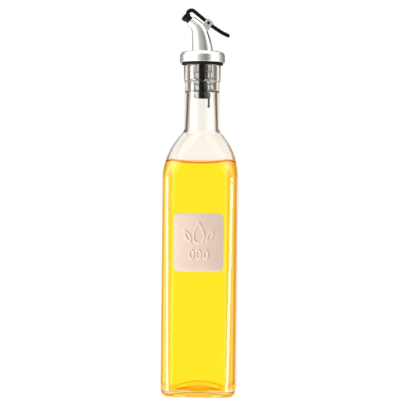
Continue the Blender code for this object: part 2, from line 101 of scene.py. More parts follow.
# Punt under the base
PUNT_RADIUS = 0.0190
PUNT_DEPTH = 0.0046

# Bottle, inside
WALL = 0.0029
CAVITY_CORNER = 0.0080
CAVITY_HEEL = 0.0060
FLOOR_Z = 0.0056
DOME_HEIGHT = 0.0047
BORE_RADIUS = 0.0095
BORE_FOOT_Z = 0.2462
NECK_BORE_TOP_Z = 0.2446
NECK_BORE_RADIUS = 0.0107
NECK_BORE_FOOT_RADIUS = 0.0120
BORE_FILLET = 0.0060
BORE_ROUND = 0.0010

# Oil. Its edge climbs at the wall, and by CORNER_CLIMB times the square of the way from a side's middle
# towards the corners, where it also leans inwards by a share of that
OIL_OVERLAP = 0.00015
MENISCUS_RISE = 0.0004
MENISCUS_WIDTH = 0.0022
MENISCUS_SHARES = (0.0, 0.15, 0.35, 0.6, 1.0)
CORNER_CLIMB = 3.2
RIM_LEAN = 0.25

# Fineness of the turned and lofted surfaces, and how near a turn its next ring lies
SUPPORT = 0.0004
CORNER_STEPS = 20
ARC_STEPS = 28
TURN_STEPS = 96
CAP_STEPS = 128
HEEL_STEPS = 14
CAVITY_HEEL_STEPS = 12
FILLET_STEPS = 10
LIP_STEPS = 8
BORE_STEPS = 6
PIN_SIDES = 32

# Where the rings lie, as shares of the way across a disc, up a wall or through a short swell
DISC_SHARES = (0.05, 0.2, 0.35, 0.5, 0.65, 0.8, 0.92)
WALL_SHARES = (0.04, 0.1, 0.3, 0.5, 0.7, 0.9, 0.97)
SWELL_SHARES = (0.15, 0.5, 0.85)

# Label
LABEL_CORNER = 0.0045
LABEL_EDGE = 0.00025
RELIEF = 0.0004
RELIEF_EDGE = 0.00038
STROKE = 0.0014

# The label's relief, about its middle. The inner line of a stroke is inset more along the points
DROP_Z = 0.0078
DROP_HEIGHT = 0.0185
DROP_HALF_WIDTH = 0.0066
DROP_TAPER = 1.3
DROP_TIP_INSET = 1.5
DROP_SHIFT = 0.25
LEAF_PLACE = (0.0088, 0.0048)
LEAF_LENGTH = 0.0118
LEAF_HALF_WIDTH = 0.0024
LEAF_SLANT = 28
LEAF_TIP_INSET = 1.6
OLIVE_Z = -0.0094
OLIVE_SPACING = 0.0056
OLIVE_HALF_WIDTH = 0.0024
OLIVE_HALF_HEIGHT = 0.0040
OLIVE_SIDE_INSET = 0.9

# Stopper
FIN_RADIUS = STOPPER_HIGH.y
FIN_PLACES = (0.2552, 0.2505, 0.2458)
FIN_THICKNESS = 0.0020
FIN_RIM_SHARE = 0.6
FIN_TAPER = 0.0001
COLLAR_HEIGHT = 0.0055
SLEEVE_RADIUS = 0.0071
SLEEVE_INNER_RADIUS = 0.0062
STOPPER_ROOF = 0.0022
CORE_ROOM_RADIUS = 0.0050

# Pourer
CAP_RADIUS = POURER_HIGH.y
CAP_TOP_Z = 0.2779
CAP_ROUND = 0.0038
CAP_EDGE = 0.0006
CORE_RADIUS = 0.0038
CORE_OFFSET_X = 0.0008
SOCKET_DEPTH = 0.010
CHANNEL_LEAD = 0.003
CHANNEL_OVERLAP = 0.001
SPOUT_SECTIONS = (
    ((-0.0084, 0.2772), (0.0087, 0.2772), 0.0076),
    ((-0.0084, 0.2840), (0.0075, 0.2840), 0.0070),
    ((-0.0085, 0.2890), (0.0060, 0.2895), 0.0064),
    ((-0.0087, 0.2933), (0.0036, 0.2956), 0.0058),
    ((-0.0094, 0.2964), (0.0002, 0.3008), 0.0052),
    ((-0.0109, 0.2982), (-0.0033, 0.3037), 0.0047),
    ((-0.0128, 0.2998), (-0.0070, 0.3063), 0.0042),
)
SPOUT_FULLNESS = 0.8
SPOUT_BORE = 0.00275
MOUTH_CENTRE = Vector((-0.0100, 0.0, 0.30295))
MOUTH_TILT = radians(-48.6)
EAR_HALF_WIDTH = 0.0028
EAR_REACH = 0.0027
EAR_ROOT = 0.0085
EAR_SLANT = radians(-53)
EAR_CORNER = 0.0013
EAR_INNER_Y = 0.0026
EAR_THICKNESS = 0.0013
EAR_EDGE = 0.00025
PIN_RADIUS = 0.0011
PIN_CLEARANCE = 0.00015
PIN_PROUD = 0.0001
PIN_HOLE_LENGTH = 0.016

# Lever and plug
LEVER_HALF_WIDTH = EAR_INNER_Y - GAP
LEVER_HALF_THICKNESS = 0.0014
LEVER_EDGE = 0.0004
LEVER_ROUTE = (
    (-0.01235, 0.3097),
    (-0.0113, 0.3110),
    (-0.0092, 0.3117),
    (-0.0071, 0.3108),
    (-0.0023, 0.3069),
    (0.0048, 0.3011),
    (0.0085, 0.2983),
    (0.0123, 0.2957),
    (0.0164, 0.2932),
    (0.0206, 0.2912),
)
HEAD_RADIUS = 0.0040
HEAD_FOOT = 0.0050
HEAD_RIM = 0.0011
HEAD_DOME = 0.0010
HEAD_STEPS = 10
PLUG_FOOT = GAP
PLUG_FOOT_RADIUS = 0.0032
PLUG_FOOT_HEIGHT = 0.0006
PLUG_WAIST_RADIUS = 0.0030
PLUG_WAIST = 0.0021
PLUG_WAIST_FLARE = 0.0003
PLUG_RIM_RADIUS = 0.0039
PLUG_RIM_HEIGHT = 0.0008
PLUG_FLARE_HEIGHT = 0.0014
PLUG_TOP = HEAD_FOOT - GAP
PLUG_TIP_RADIUS = 0.0023
PLUG_TIP_DEPTH = 0.00035
PLUG_TIP_TURN = (0.55, 0.8)

# Finishes. A grain, drift or wave is given by how often it comes in a metre, and by its depth
WHITE = (1.0, 1.0, 1.0)
BLACK = (0.0, 0.0, 0.0)
NOISE_LOW = 0.3
NOISE_HIGH = 0.7
GLASS_IOR = 1.5
GLASS_WAVES = 60.0
GLASS_WAVE_DETAIL = 1.0
GLASS_WAVE_STRETCH = (1.0, 1.0, 0.35)
GLASS_WAVE_DEPTH = 0.00005
PEARL_COLOURS = ((0.80, 0.61, 0.50), (0.86, 0.69, 0.57))
PEARL_METALLIC = 0.35
PEARL_SPECULAR = 0.6
PEARL_ROUGHNESS = (0.36, 0.50)
PEARL_DRIFT = 45.0
PEARL_GRAIN = 2600.0
PEARL_DEPTH = 0.000012
SILVER_COLOURS = ((0.86, 0.86, 0.84), (0.92, 0.92, 0.90))
SILVER_ROUGHNESS = (0.16, 0.24)
SILVER_DRIFT = 120.0
SILVER_GRAIN = 1800.0
SILVER_DEPTH = 0.000004
BLACK_SPECULAR = 0.10
BLACK_LIGHTER = 1.6
BLACK_DRIFT = 300.0
BLACK_SMOOTHER = 0.06
BLACK_ROUGHER = 0.08
PLASTIC_COLOUR = (0.006, 0.006, 0.005)
PLASTIC_ROUGHNESS = 0.34
PLASTIC_GRAIN = 1500.0
PLASTIC_DEPTH = 0.000006
CORE_ROUGHNESS = 0.6
RUBBER_COLOUR = (0.009, 0.009, 0.008)
RUBBER_ROUGHNESS = 0.55
RUBBER_GRAIN = 1100.0
RUBBER_DEPTH = 0.00001
SILICONE_COLOUR = (0.88, 0.90, 0.89)
SILICONE_IOR = 1.41
SILICONE_ROUGHNESS = (0.0, 0.03)
SILICONE_GRAIN = 900.0
FLOOR_COLOURS = ((0.90, 0.90, 0.89), (0.92, 0.92, 0.91))
FLOOR_ROUGHNESS = 0.7
FLOOR_GLOW = 0.9
FLOOR_DRIFT = 30.0

# Painted light and shade in the glass's base and the oil's foot, by height: the amber of light sent down
# through the oil into the base glass, and dark arcs of painted shade. SAG times the square of the way from
# a side's middle is how far their arcs fall away to the corners
BASE_TOP_Z = 0.0160
GLASS_BASE_SAG = 5.0
GLASS_BASE_PAINTED_LIGHT_AND_SHADE = (
    (0.0007, (0.95, 0.50, 0.08)),
    (0.0016, (1.0, 0.90, 0.66)),
    (0.0041, (1.0, 0.88, 0.60)),
    (0.0047, (0.25, 0.10, 0.01)),
    (0.0054, (0.90, 0.62, 0.10)),
    (0.0085, (1.0, 0.88, 0.40)),
    (0.0095, WHITE),
)
OIL_FOOT_SAG = 12.0
OIL_FOOT_PAINTED_SHADE = (
    (0.0086, (0.98, 0.80, 0.20)),
    (0.0093, (0.42, 0.22, 0.02)),
    (0.0098, (0.50, 0.28, 0.03)),
    (0.0106, WHITE),
)

# The rest of the oil: painted shade at its front corners and in a dark line along its surface, a painted
# glow that stands in for the light it scatters, and its own colour. A corner's shade is where it starts,
# where it is full, and its power. The surface's band is its middle, half and softness
OIL_IOR = 1.47
OIL_CORNER_PAINTED_SHADE = (0.70, 0.42, 0.03)
CORNER_SHADE_X = (0.0212, 0.0226, 1.0)
CORNER_SHADE_Y = (-0.0236, -0.0248, 1.0)
RIM_PAINTED_SHADE = (0.68, 0.12, 0.01)
RIM_DROP = 0.00095
RIM_SHADE_BAND = (OIL_LEVEL_Z - RIM_DROP, 0.0007, 0.0003)
OIL_ABSORPTION = (1.0, 0.922, 0.01, 1.0)
OIL_DENSITY = 76.0
OIL_PAINTED_GLOW = (1.0, 0.52, 0.0)
OIL_PAINTED_GLOW_STRENGTH = 0.25

# What shines off the glass. A light is its middle azimuth, half width and softness in degrees, its turn
# for each degree below the horizon, and its power. A fade, such as RIM_TOP for the rims and STRIP_TOP for
# the strips, is the elevation where it starts, the one where it is full, and its power
GLASS_TONE = (0.10, 0.10, 0.10)
GLASS_PANELS = (
    (-67.0, 37.0, 4.0, 0.0, 1.8),
    (70.0, 28.0, 4.0, 0.0, 1.2),
)
GLASS_RIMS = (
    (180.0, 50.0, 5.0, 0.0, 0.8),
    (-180.0, 50.0, 5.0, 0.0, 0.8),
)
LEFT_STRIP = (-66.0, 11.5, 2.5, 3.2, 15.0)
RIGHT_STRIP = (61.0, 13.5, 2.5, -4.4, 14.0)
RIM_TOP = (4.6, 4.1, 1.0)
STRIP_TOP = (17.0, 9.0, 1.0)
PANEL_FOOT = -8.0
PANEL_FADE = 6.0
OVERHEAD = (28.0, 42.0, 0.9)
UNDERFOOT = (PANEL_FOOT, PANEL_FOOT - PANEL_FADE, 0.5)

# A gap in the right strip, so that its reflection in the neck leaves the vent pipe clear: the elevation
# of its middle, its half and its softness
RIGHT_GAP = (3.9, 1.4, 0.1)

# A warm card behind on the right, as it shows through the glass and as it glints off it. Each is a window
# of azimuth and one of elevation, as middle, half and softness
WARM_COLOUR = (0.64, 0.25, 0.04)
WARM_CARD = ((147.0, 18.0, 3.0), (15.8, 3.2, 0.8))
WARM_GLINT = ((150.0, 34.0, 4.0), (16.0, 11.0, 2.0))

# What shines off the satin and black pieces, by azimuth
SATIN_BLUE = 0.97
SATIN_TONES = (
    (-180.0, 0.24),
    (-142.0, 0.24),
    (-118.0, 0.62),
    (-102.0, 1.20),
    (-55.0, 1.70),
    (-28.0, 1.15),
    (-16.0, 0.72),
    (-2.0, 0.43),
    (14.0, 0.29),
    (25.0, 0.24),
    (33.0, 0.31),
    (43.0, 0.66),
    (52.0, 1.20),
    (68.0, 1.60),
    (90.0, 1.15),
    (101.0, 0.84),
    (111.0, 0.54),
    (125.0, 0.35),
    (139.0, 0.24),
    (180.0, 0.20),
)

# What shows through the glass, by the angle away from straight behind the bottle. It fades to white above
# and below, except in front, where THROUGH_FRONT ends that by the same angle, and to dark at the very top
# and bottom
THROUGH_COLOURS = (
    (0.0, (1.03, 0.99, 0.90)),
    (13.0, (1.03, 0.99, 0.90)),
    (24.0, (0.52, 0.47, 0.42)),
    (31.0, (0.31, 0.25, 0.20)),
    (42.0, (0.12, 0.08, 0.06)),
    (60.0, (0.12, 0.08, 0.06)),
    (80.0, (0.90, 0.85, 0.80)),
    (145.0, (0.90, 0.85, 0.80)),
    (160.0, (0.12, 0.11, 0.10)),
)
THROUGH_WHITE = (1.0, 0.98, 0.94)
THROUGH_ABOVE = (15.0, 17.8, 1.0)
THROUGH_BELOW = (-24.0, -34.0, 1.0)
THROUGH_FRONT = (120.0, 100.0, 1.0)
THROUGH_DARK = (0.12, 0.08, 0.06)
THROUGH_TOP = (36.0, 46.0, 1.0)
THROUGH_BOTTOM = (-40.0, -50.0, 1.0)
DIFFUSE_TONE = (0.14, 0.14, 0.14)
BACKDROP_TONE = (1.0, 1.0, 1.0)

# Key light and floor
KEY_PLACE = Vector((-0.55, -0.23, 0.01))
KEY_AIM = Vector((0.0, 0.0, 0.14))
KEY_SIZE = 0.16
KEY_POWER = 8.8
FLOOR_RADIUS = 12.0


# Building


def scene_object(name, data, material=None):
    obj = bpy.data.objects.new(name, data)
    bpy.context.scene.collection.objects.link(obj)
    if material:
        data.materials.append(material)
    return obj


def remove(obj):
    bpy.data.objects.remove(obj, do_unlink=True)


def smooth(obj, angle=radians(35)):
    obj.data.shade_smooth()
    obj.data.set_sharp_from_angle(angle=angle)


def even_normals(obj):
    """Smooth shading that the large faces lead, so that flat stretches beside a rounded edge look flat."""
    smooth(obj)
    modifier = obj.modifiers.new("even", "WEIGHTED_NORMAL")
    modifier.keep_sharp = True
    applied(obj)


def applied(obj):
    """The object's modifiers, worked into its mesh."""
    graph = bpy.context.evaluated_depsgraph_get()
    mesh = bpy.data.meshes.new_from_object(obj.evaluated_get(graph))
    old = obj.data
    obj.modifiers.clear()
    obj.data = mesh
    if old.users == 0 and isinstance(old, bpy.types.Mesh):
        bpy.data.meshes.remove(old)
    return obj


def boolean(obj, other, operation):
    """Joins other to obj, or cuts it away, and removes it."""
    modifier = obj.modifiers.new(operation.lower(), "BOOLEAN")
    modifier.operation = operation
    modifier.object = other
    applied(obj)
    remove(other)


def arc(centre, radius, start, end, steps):
    """Points (x, z) round a centre, from one angle to another."""
    angles = [start + (end - start) * k / steps for k in range(steps + 1)]
    return [(centre[0] + radius * cos(a), centre[1] + radius * sin(a)) for a in angles]


def ring(half, corner, roundness, z):
    """A rounded square at height z. At roundness 1 its corners meet in one circle."""
    count = CORNER_STEPS + 1
    sweep = (pi / 2) * (1 - roundness / count)
    points = []
    for quarter in range(4):
        middle = pi / 4 + quarter * pi / 2
        shift = (half - corner) * sqrt(2)
        for k in range(count):
            angle = middle + (k / CORNER_STEPS - 0.5) * sweep
            x = shift * cos(middle) + corner * cos(angle)
            y = shift * sin(middle) + corner * sin(angle)
            points.append(Vector((x, y, z)))
    return points


def disc_ring(radius, z):
    return ring(radius, radius, 1.0, z)


def loft(name, rings, material=None):
    """A closed skin through rings of equal point counts, drawn to a point at the first and the last."""
    bm = bmesh.new()
    rows = [[bm.verts.new(point) for point in points] for points in rings]
    for low, high in zip(rows, rows[1:]):
        for k in range(len(low)):
            n = (k + 1) % len(low)
            bm.faces.new((low[k], low[n], high[n], high[k]))
    for row in (rows[0], rows[-1]):
        middle = bm.verts.new(sum((v.co for v in row), Vector()) / len(row))
        for k in range(len(row)):
            bm.faces.new((row[k], row[(k + 1) % len(row)], middle))
    bmesh.ops.recalc_face_normals(bm, faces=bm.faces)
    mesh = bpy.data.meshes.new(name)
    bm.to_mesh(mesh)
    bm.free()
    obj = scene_object(name, mesh, material)
    smooth(obj)
    return obj


def turned(name, profile, material=None, closed=False, steps=TURN_STEPS):
    """Turns a profile of (radius, z) points round local Z. Its outer side runs from top to bottom."""
    mesh = bpy.data.meshes.new(name)
    count = len(profile)
    edges = [(k, (k + 1) % count) for k in range(count if closed else count - 1)]
    mesh.from_pydata([(x, 0.0, z) for x, z in profile], edges, [])
    obj = scene_object(name, mesh, material)
    screw = obj.modifiers.new("turn", "SCREW")
    screw.axis = "Z"
    screw.angle = tau
    screw.steps = steps
    screw.render_steps = steps
    screw.use_merge_vertices = True
    screw.merge_threshold = 0.00001
    applied(obj)
    smooth(obj)
    return obj


def cylinder(name, radius, centre, length, vertices=64, along_y=False):
    rotation = (pi / 2, 0, 0) if along_y else (0, 0, 0)
    bpy.ops.mesh.primitive_cylinder_add(
        vertices=vertices, radius=radius, depth=length, location=centre, rotation=rotation
    )
    obj = bpy.context.object
    obj.name = name
    return obj


def mesh_from_curve(obj):
    """The curve object as a mesh object in its place, with its caps welded."""
    graph = bpy.context.evaluated_depsgraph_get()
    mesh = bpy.data.meshes.new_from_object(obj.evaluated_get(graph))
    bm = bmesh.new()
    bm.from_mesh(mesh)
    bmesh.ops.remove_doubles(bm, verts=bm.verts, dist=0.000001)
    bmesh.ops.recalc_face_normals(bm, faces=bm.faces)
    bm.to_mesh(mesh)
    bm.free()
    name = obj.name
    matrix = obj.matrix_world.copy()
    remove(obj)
    made = scene_object(name, mesh)
    mesh.transform(matrix)
    return made


def plate(name, outlines, half_thickness, centre, material=None, edge=0.0, edge_steps=3):
    """Flat outlines of (x, z) points, filled and extruded along Y about a centre."""
    curve = bpy.data.curves.new(name, "CURVE")
    curve.dimensions = "2D"
    curve.fill_mode = "BOTH"
    curve.extrude = half_thickness - edge
    curve.bevel_depth = edge
    curve.bevel_resolution = edge_steps
    for points in outlines:
        spline = curve.splines.new("POLY")
        spline.points.add(len(points) - 1)
        spline.use_cyclic_u = True
        for point, (x, z) in zip(spline.points, points):
            point.co = (x, z, 0.0, 1.0)
    obj = scene_object(name, curve)
    obj.rotation_euler = (pi / 2, 0, 0)
    obj.location = centre
    bpy.context.view_layer.update()
    made = mesh_from_curve(obj)
    if material:
        made.data.materials.append(material)
    smooth(made)
    return made


def round_tube(name, points, radius, resolution=8):
    curve = bpy.data.curves.new(name, "CURVE")
    curve.dimensions = "3D"
    curve.bevel_depth = radius
    curve.bevel_resolution = resolution
    curve.use_fill_caps = True
    spline = curve.splines.new("POLY")
    spline.points.add(len(points) - 1)
    for point, place in zip(spline.points, points):
        point.co = (*place, 1.0)
    obj = scene_object(name, curve)
    bpy.context.view_layer.update()
    return mesh_from_curve(obj)


# Outlines


def rounded_rectangle(width, height, corner, steps=16):
    points = []
    for quarter in range(4):
        start = quarter * pi / 2
        x = (width / 2 - corner) * (1 if quarter in (0, 3) else -1)
        z = (height / 2 - corner) * (1 if quarter in (0, 1) else -1)
        points += arc((x, z), corner, start, start + pi / 2, steps)
    return points


def smooth_route(points, steps):
    """Points on a smooth curve through the given ones."""
    points = [Vector(p) for p in points]
    padded = [2 * points[0] - points[1], *points, 2 * points[-1] - points[-2]]
    route = []
    for a, b, c, d in zip(padded, padded[1:], padded[2:], padded[3:]):
        for k in range(steps):
            t = k / steps
            square = (2 * a - 5 * b + 4 * c - d) * t**2
            cube = (3 * b - a - 3 * c + d) * t**3
            route.append(0.5 * (2 * b + (c - a) * t + square + cube))
    return route + [points[-1]]


def strap_outline(route, half_thickness, end_steps=12):
    """The outline of a bar of even thickness along a route, with round ends."""
    sides = ([], [])
    for k, point in enumerate(route):
        along = (route[min(k + 1, len(route) - 1)] - route[max(k - 1, 0)]).normalized()
        across = Vector((-along.y, along.x)) * half_thickness
        sides[0].append(tuple(point + across))
        sides[1].append(tuple(point - across))
    caps = []
    for point, beyond in ((route[-1], route[-1] - route[-2]), (route[0], route[0] - route[1])):
        facing = atan2(beyond.y, beyond.x)
        caps.append(arc(point, half_thickness, facing + pi / 2, facing - pi / 2, end_steps)[1:-1])
    return sides[0] + caps[0] + sides[1][::-1] + caps[1]


def drop_outline(height, half_width, inset=0.0, steps=64):
    """An oil drop with its point up, centred on its own middle."""
    points = []
    for k in range(steps):
        turn = tau * k / steps
        x = half_width * sin(turn) * sin(turn / 2) ** DROP_TAPER
        z = height / 2 * cos(turn)
        x *= 1 - inset / half_width
        z *= 1 - DROP_TIP_INSET * inset / (height / 2)
        points.append((x, z - inset * DROP_SHIFT))
    return points


def leaf_outline(centre, length, half_width, slant, inset=0.0, steps=18):
    """A pointed leaf between two arcs, turned by slant."""
    half = length / 2 - LEAF_TIP_INSET * inset
    width = half_width - inset
    points = []
    for side in (1, -1):
        for k in range(steps):
            share = k / steps
            x = half * (1 - 2 * share) * side
            z = width * sin(pi * share) * side
            turned_x = x * cos(slant) - z * sin(slant)
            turned_z = x * sin(slant) + z * cos(slant)
            points.append((centre[0] + turned_x, centre[1] + turned_z))
    return points


def oval_outline(centre, half_width, half_height, steps=40):
    return [
        (centre[0] + half_width * cos(tau * k / steps), centre[1] + half_height * sin(tau * k / steps))
        for k in range(steps)
    ]


# Materials


def new_material(name):
    material = bpy.data.materials.new(name)
    material.use_nodes = True
    tree = material.node_tree
    return material, tree, tree.nodes["Principled BSDF"]


def set_inputs(shader, **values):
    for name, value in values.items():
        shader.inputs[name.replace("_", " ")].default_value = value


def add_math(tree, operation, first, second=None):
    """A Math node. Each input is another node's output or a number."""
    node = tree.nodes.new("ShaderNodeMath")
    node.operation = operation
    for socket, value in zip(node.inputs, (first, second)):
        if isinstance(value, bpy.types.NodeSocket):
            tree.links.new(value, socket)
        elif value is not None:
            socket.default_value = value
    return node.outputs["Value"]


def add_rise(tree, value, start, full, power):
    """0 at the start, rising smoothly to the power at full."""
    rise = tree.nodes.new("ShaderNodeMapRange")
    rise.interpolation_type = "SMOOTHSTEP"
    rise.inputs["From Min"].default_value = start
    rise.inputs["From Max"].default_value = full
    rise.inputs["To Max"].default_value = power
    tree.links.new(value, rise.inputs["Value"])
    return rise.outputs["Result"]


def add_window(tree, value, middle, half, softness):
    """1 within half of the middle, falling smoothly to 0."""
    away = add_math(tree, "ABSOLUTE", add_math(tree, "SUBTRACT", value, middle))
    edge = tree.nodes.new("ShaderNodeMapRange")
    edge.interpolation_type = "SMOOTHSTEP"
    edge.inputs["From Min"].default_value = half + softness
    edge.inputs["From Max"].default_value = half - softness
    tree.links.new(away, edge.inputs["Value"])
    return edge.outputs["Result"]


def add_ramp(tree, source, stops):
    """A colour ramp through stops of (place, colour)."""
    ramp = tree.nodes.new("ShaderNodeValToRGB")
    elements = ramp.color_ramp.elements
    while len(elements) < len(stops):
        elements.new(1.0)
    for element, (place, colour) in zip(elements, stops):
        element.position = place
        element.color = (*colour, 1.0)
    tree.links.new(source, ramp.inputs["Fac"])
    return ramp.outputs["Color"]


def add_noise(tree, scale, detail, stretch=(1.0, 1.0, 1.0)):
    """Noise in the object's own metres, stretched along its axes."""
    place = tree.nodes.new("ShaderNodeTexCoord")
    mapping = tree.nodes.new("ShaderNodeMapping")
    mapping.inputs["Scale"].default_value = stretch
    noise = tree.nodes.new("ShaderNodeTexNoise")
    noise.inputs["Scale"].default_value = scale
    noise.inputs["Detail"].default_value = detail
    tree.links.new(place.outputs["Object"], mapping.inputs["Vector"])
    tree.links.new(mapping.outputs["Vector"], noise.inputs["Vector"])
    return noise


def add_range(tree, source, low, high):
    """Spreads the usual values of a noise from low to high."""
    spread = tree.nodes.new("ShaderNodeMapRange")
    spread.inputs["From Min"].default_value = NOISE_LOW
    spread.inputs["From Max"].default_value = NOISE_HIGH
    spread.inputs["To Min"].default_value = low
    spread.inputs["To Max"].default_value = high
    tree.links.new(source, spread.inputs["Value"])
    return spread.outputs["Result"]


def add_bump(tree, shader, source, depth):
    bump = tree.nodes.new("ShaderNodeBump")
    bump.inputs["Strength"].default_value = 1.0
    bump.inputs["Distance"].default_value = depth
    tree.links.new(source, bump.inputs["Height"])
    tree.links.new(bump.outputs["Normal"], shader.inputs["Normal"])


def add_mix(tree, factor, low, high):
    """Mixes two colours. Each is another node's output or a colour."""
    mix = tree.nodes.new("ShaderNodeMix")
    mix.data_type = "RGBA"
    tree.links.new(factor, mix.inputs["Factor"])
    for name, colour in (("A", low), ("B", high)):
        if isinstance(colour, bpy.types.NodeSocket):
            tree.links.new(colour, mix.inputs[name])
        else:
            mix.inputs[name].default_value = (*colour, 1.0)
    return mix.outputs["Result"]


def add_colours(tree, shader, source, low, high, socket="Base Color"):
    """Drives one of the shader's colours by the source, from low to high."""
    tree.links.new(add_mix(tree, source, low, high), shader.inputs[socket])


def add_place(tree):
    """The X, Y and Z of a point, in the object's own metres."""
    place = tree.nodes.new("ShaderNodeTexCoord")
    parts = tree.nodes.new("ShaderNodeSeparateXYZ")
    tree.links.new(place.outputs["Object"], parts.inputs["Vector"])
    return [parts.outputs[axis] for axis in "XYZ"]


def add_curved_height(tree, bend):
    """The height of a point, plus bend times the square of its way from the middle of its side."""
    x, y, z = add_place(tree)
    sideways = add_math(tree, "MINIMUM", add_math(tree, "ABSOLUTE", x), add_math(tree, "ABSOLUTE", y))
    curve = add_math(tree, "MULTIPLY", add_math(tree, "MULTIPLY", sideways, sideways), bend)
    return add_math(tree, "ADD", z, curve)


def add_painted_base_light_and_shade(tree, sag, colours):
    """Painted light and shade by height near the base, in arcs that fall away to the corners."""
    height = add_math(tree, "DIVIDE", add_curved_height(tree, sag), BASE_TOP_Z)
    return add_ramp(tree, height, [(z / BASE_TOP_Z, colour) for z, colour in colours])


def add_corner_shade_share(tree):
    """Where the painted shade goes: 1 on the front of the oil's two upright corners beside the label, and 0
    elsewhere.
    """
    x, y, _ = add_place(tree)
    sideways = add_rise(tree, add_math(tree, "ABSOLUTE", x), *CORNER_SHADE_X)
    return add_math(tree, "MULTIPLY", sideways, add_rise(tree, y, *CORNER_SHADE_Y))


def glass_material():
    """Clear pressed glass, with the faint waves of a moulded wall, and painted light and shade in its base.
    """
    material, tree, shader = new_material("clear_glass")
    set_inputs(shader, Roughness=0.0, IOR=GLASS_IOR, Transmission_Weight=1.0)
    # Painted amber light, as the oil sends it into the base glass, and a dark arc of painted shade
    base = add_painted_base_light_and_shade(tree, GLASS_BASE_SAG, GLASS_BASE_PAINTED_LIGHT_AND_SHADE)
    tree.links.new(base, shader.inputs["Base Color"])
    waves = add_noise(tree, GLASS_WAVES, GLASS_WAVE_DETAIL, GLASS_WAVE_STRETCH)
    add_bump(tree, shader, waves.outputs["Fac"], GLASS_WAVE_DEPTH)
    return material


def oil_material():
    """Refined cooking oil: it takes the blue out of the light, with a painted glow for the light it
    scatters.
    """
    material, tree, shader = new_material("golden_oil")
    set_inputs(shader, Roughness=0.0, IOR=OIL_IOR, Transmission_Weight=1.0)
    # A painted glow that stands in for the light the oil scatters
    set_inputs(shader, Emission_Strength=OIL_PAINTED_GLOW_STRENGTH)
    # A dark band of painted shade along the oil's surface, where the painted glow is off
    rim = add_window(tree, add_curved_height(tree, -CORNER_CLIMB), *RIM_SHADE_BAND)
    add_colours(tree, shader, rim, OIL_PAINTED_GLOW, BLACK, "Emission Color")
    # Dark arcs of painted shade at the oil's foot
    foot = add_painted_base_light_and_shade(tree, OIL_FOOT_SAG, OIL_FOOT_PAINTED_SHADE)
    # Painted shade on the oil's front corners
    edges = add_mix(tree, add_corner_shade_share(tree), foot, OIL_CORNER_PAINTED_SHADE)
    tree.links.new(add_mix(tree, rim, edges, RIM_PAINTED_SHADE), shader.inputs["Base Color"])
    absorption = tree.nodes.new("ShaderNodeVolumeAbsorption")
    absorption.inputs["Color"].default_value = OIL_ABSORPTION
    absorption.inputs["Density"].default_value = OIL_DENSITY
    tree.links.new(absorption.outputs["Volume"], tree.nodes["Material Output"].inputs["Volume"])
    return material


def pearl_material():
    """The label's pale champagne coating, with a fine sparkle and a slow drift of tone."""
    material, tree, shader = new_material("pearl_label")
    set_inputs(shader, Metallic=PEARL_METALLIC, Specular_IOR_Level=PEARL_SPECULAR)
    drift = add_noise(tree, PEARL_DRIFT, detail=2.0)
    add_colours(tree, shader, drift.outputs["Fac"], *PEARL_COLOURS)
    grain = add_noise(tree, PEARL_GRAIN, detail=3.0)
    tree.links.new(add_range(tree, grain.outputs["Fac"], *PEARL_ROUGHNESS), shader.inputs["Roughness"])
    add_bump(tree, shader, grain.outputs["Fac"], PEARL_DEPTH)
    return material


def silver_material():
    """Satin metal coating on moulded plastic, with a soft grain."""
    material, tree, shader = new_material("satin_silver")
    set_inputs(shader, Metallic=1.0)
    drift = add_noise(tree, SILVER_DRIFT, detail=3.0)
    add_colours(tree, shader, drift.outputs["Fac"], *SILVER_COLOURS)
    grain = add_noise(tree, SILVER_GRAIN, detail=4.0)
    tree.links.new(add_range(tree, grain.outputs["Fac"], *SILVER_ROUGHNESS), shader.inputs["Roughness"])
    add_bump(tree, shader, grain.outputs["Fac"], SILVER_DEPTH)
    return material


def black_material(name, colour, roughness, grain_count, depth, specular=BLACK_SPECULAR):
    """Black plastic or rubber, with a slow drift of tone and a grain in its sheen."""
    material, tree, shader = new_material(name)
    set_inputs(shader, Specular_IOR_Level=specular)
    drift = add_noise(tree, BLACK_DRIFT, detail=3.0)
    light = tuple(BLACK_LIGHTER * c for c in colour)
    add_colours(tree, shader, drift.outputs["Fac"], colour, light)
    grain = add_noise(tree, grain_count, detail=4.0)
    low = roughness - BLACK_SMOOTHER
    high = roughness + BLACK_ROUGHER
    tree.links.new(add_range(tree, grain.outputs["Fac"], low, high), shader.inputs["Roughness"])
    add_bump(tree, shader, grain.outputs["Fac"], depth)
    return material


def silicone_material():
    """Clear soft plastic, a little grey."""
    material, tree, shader = new_material("clear_silicone")
    set_inputs(shader, Base_Color=(*SILICONE_COLOUR, 1.0), IOR=SILICONE_IOR, Transmission_Weight=1.0)
    grain = add_noise(tree, SILICONE_GRAIN, detail=2.0)
    tree.links.new(add_range(tree, grain.outputs["Fac"], *SILICONE_ROUGHNESS), shader.inputs["Roughness"])
    return material


def floor_material():
    material, tree, shader = new_material("floor")
    set_inputs(shader, Roughness=FLOOR_ROUGHNESS, Specular_IOR_Level=0.0)
    set_inputs(shader, Emission_Color=(*WHITE, 1.0), Emission_Strength=FLOOR_GLOW)
    drift = add_noise(tree, FLOOR_DRIFT, detail=2.0)
    add_colours(tree, shader, drift.outputs["Fac"], *FLOOR_COLOURS)
    return material


# Glass and oil


def fillet_to_line(arc_centre, arc_radius, line_x, fillet):
    """Centre height of a fillet that joins an arc to an upright line, and the arc's angle at its start."""
    run = line_x + fillet - arc_centre[0]
    rise = sqrt((arc_radius + fillet) ** 2 - run**2)
    return arc_centre[1] + rise, atan2(rise, run)


